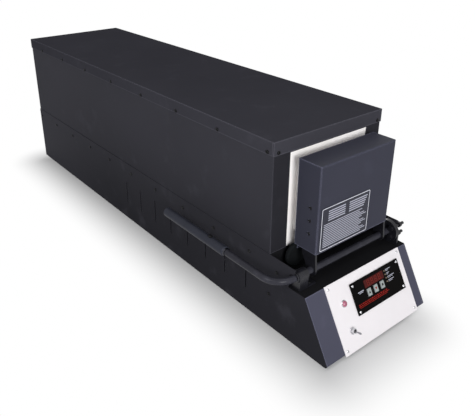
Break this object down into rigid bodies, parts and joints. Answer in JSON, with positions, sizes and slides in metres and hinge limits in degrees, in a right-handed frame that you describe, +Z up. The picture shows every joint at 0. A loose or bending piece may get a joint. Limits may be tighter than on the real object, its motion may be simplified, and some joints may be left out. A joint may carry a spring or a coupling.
{
  "type": "firebrick kiln",
  "caption": "Long bench kiln of soft firebrick in a black sheet-steel case, with a drop-forward door worked by a side handle and a sloped control console.",
  "frame": {"origin": "middle of the footprint of the whole object, handle and console included, on the bench", "axes": "+Z up, +Y from the door to the back along the length, +X to the right seen from the front"},
  "size_m": [0.3314, 1.175, 0.36],
  "materials": {
    "case_paint": "black, fine texture, satin",
    "base_paint": "black, fine texture, satin",
    "door_paint": "black, satin",
    "firebrick": "soft firebrick, open-grained, matt",
    "ceramic": "glazed porcelain",
    "fibre_board": "mineral fibre, matt",
    "element_wire": "oxidised resistance wire",
    "zinc_steel": "zinc plated",
    "black_steel": "black, semi-gloss",
    "black_screws": "black oxide",
    "shaft_steel": "black, satin",
    "grip_plastic": "black, matt",
    "chrome": "bright plated",
    "stop_rubber": "black rubber",
    "plate_silver": "brushed, clear coated",
    "controller_black": "printed black, satin",
    "display_red": "dark red filter",
    "button_white": "off-white key",
    "lamp_red": "red lens",
    "board_green": "printed circuit board",
    "switch_black": "moulded black",
    "door_plate": "black printed metal foil"
  },
  "bodies": {
    "kiln": {"base_back": "base_paint", "base_pan": "zinc_steel", "base_screws": "black_screws", "base_side_left": "base_paint", "base_side_right": "base_paint", "bearing_bolts": "black_steel", "bearing_flange": "black_steel", "board_standoffs": "zinc_steel", "bracket_screws": "black_screws", "brick_shelf": "zinc_steel", "case_back": "case_paint", "case_front": "case_paint", "case_side_left": "case_paint", "case_side_right": "case_paint", "console_front": "base_paint", "console_screws": "chrome", "control_plate": "plate_silver", "controller_board": "board_green", "controller_plate": "controller_black", "cord_gland": "switch_black", "deck": "base_paint", "display_window": "display_red", "door_stops": "stop_rubber", "feet": "stop_rubber", "floor_bricks": "firebrick", "heat_baffle": "zinc_steel", "heating_elements": "element_wire", "hinge_bracket_left": "black_steel", "hinge_bracket_right": "black_steel", "lamp_bezel": "chrome", "lamp_lens": "lamp_red", "lead_tubes": "ceramic", "lid": "case_paint", "lid_screws": "black_screws", "power_relays": "switch_black", "rear_board": "fibre_board", "rear_bricks": "firebrick", "roof_bricks": "firebrick", "shaft_bush": "black_steel", "terminal_block": "switch_black", "thermocouple": "ceramic", "toggle_nut": "chrome", "toggle_switch": "chrome", "transformer": "zinc_steel", "wall_bricks": "firebrick"},
    "door": {"hinge_shaft": "shaft_steel", "shaft_collar": "black_steel", "end_collar": "black_steel", "handle_grip": "grip_plastic", "grip_ring": "chrome", "grip_screw": "black_screws", "door_shell": "door_paint", "door_brick": "firebrick", "hinge_arms": "black_steel", "arm_screws": "black_screws", "door_plate": "door_plate"},
    "toggle": {"toggle_lever": "chrome"},
    "up_key": {"button_1": "button_white"},
    "down_key": {"button_2": "button_white"},
    "start_key": {"button_3": "button_white"}
  },
  "joints": [
    {"name": "door_hinge", "type": "hinge", "parent": "kiln", "child": "door", "pos_m": [0.01575, -0.49552, 0.135], "axis": [1, 0, 0], "range_deg": [0, 90]},
    {"name": "toggle_tip", "type": "hinge", "parent": "kiln", "child": "toggle", "pos_m": [-0.04305, -0.57103, 0.03577], "axis": [-1, 0, 0], "range_deg": [0, 30]},
    {"name": "up_key_press", "type": "slide", "parent": "kiln", "child": "up_key", "axis": [0, 0.869, -0.4948], "range_m": [0, 0.001], "stiffness_N_per_m": 1500, "springref_m": -0.0006},
    {"name": "down_key_press", "type": "slide", "parent": "kiln", "child": "down_key", "axis": [0, 0.869, -0.4948], "range_m": [0, 0.001], "stiffness_N_per_m": 1500, "springref_m": -0.0006},
    {"name": "start_key_press", "type": "slide", "parent": "kiln", "child": "start_key", "axis": [0, 0.869, -0.4948], "range_m": [0, 0.001], "stiffness_N_per_m": 1500, "springref_m": -0.0006}
  ]
}
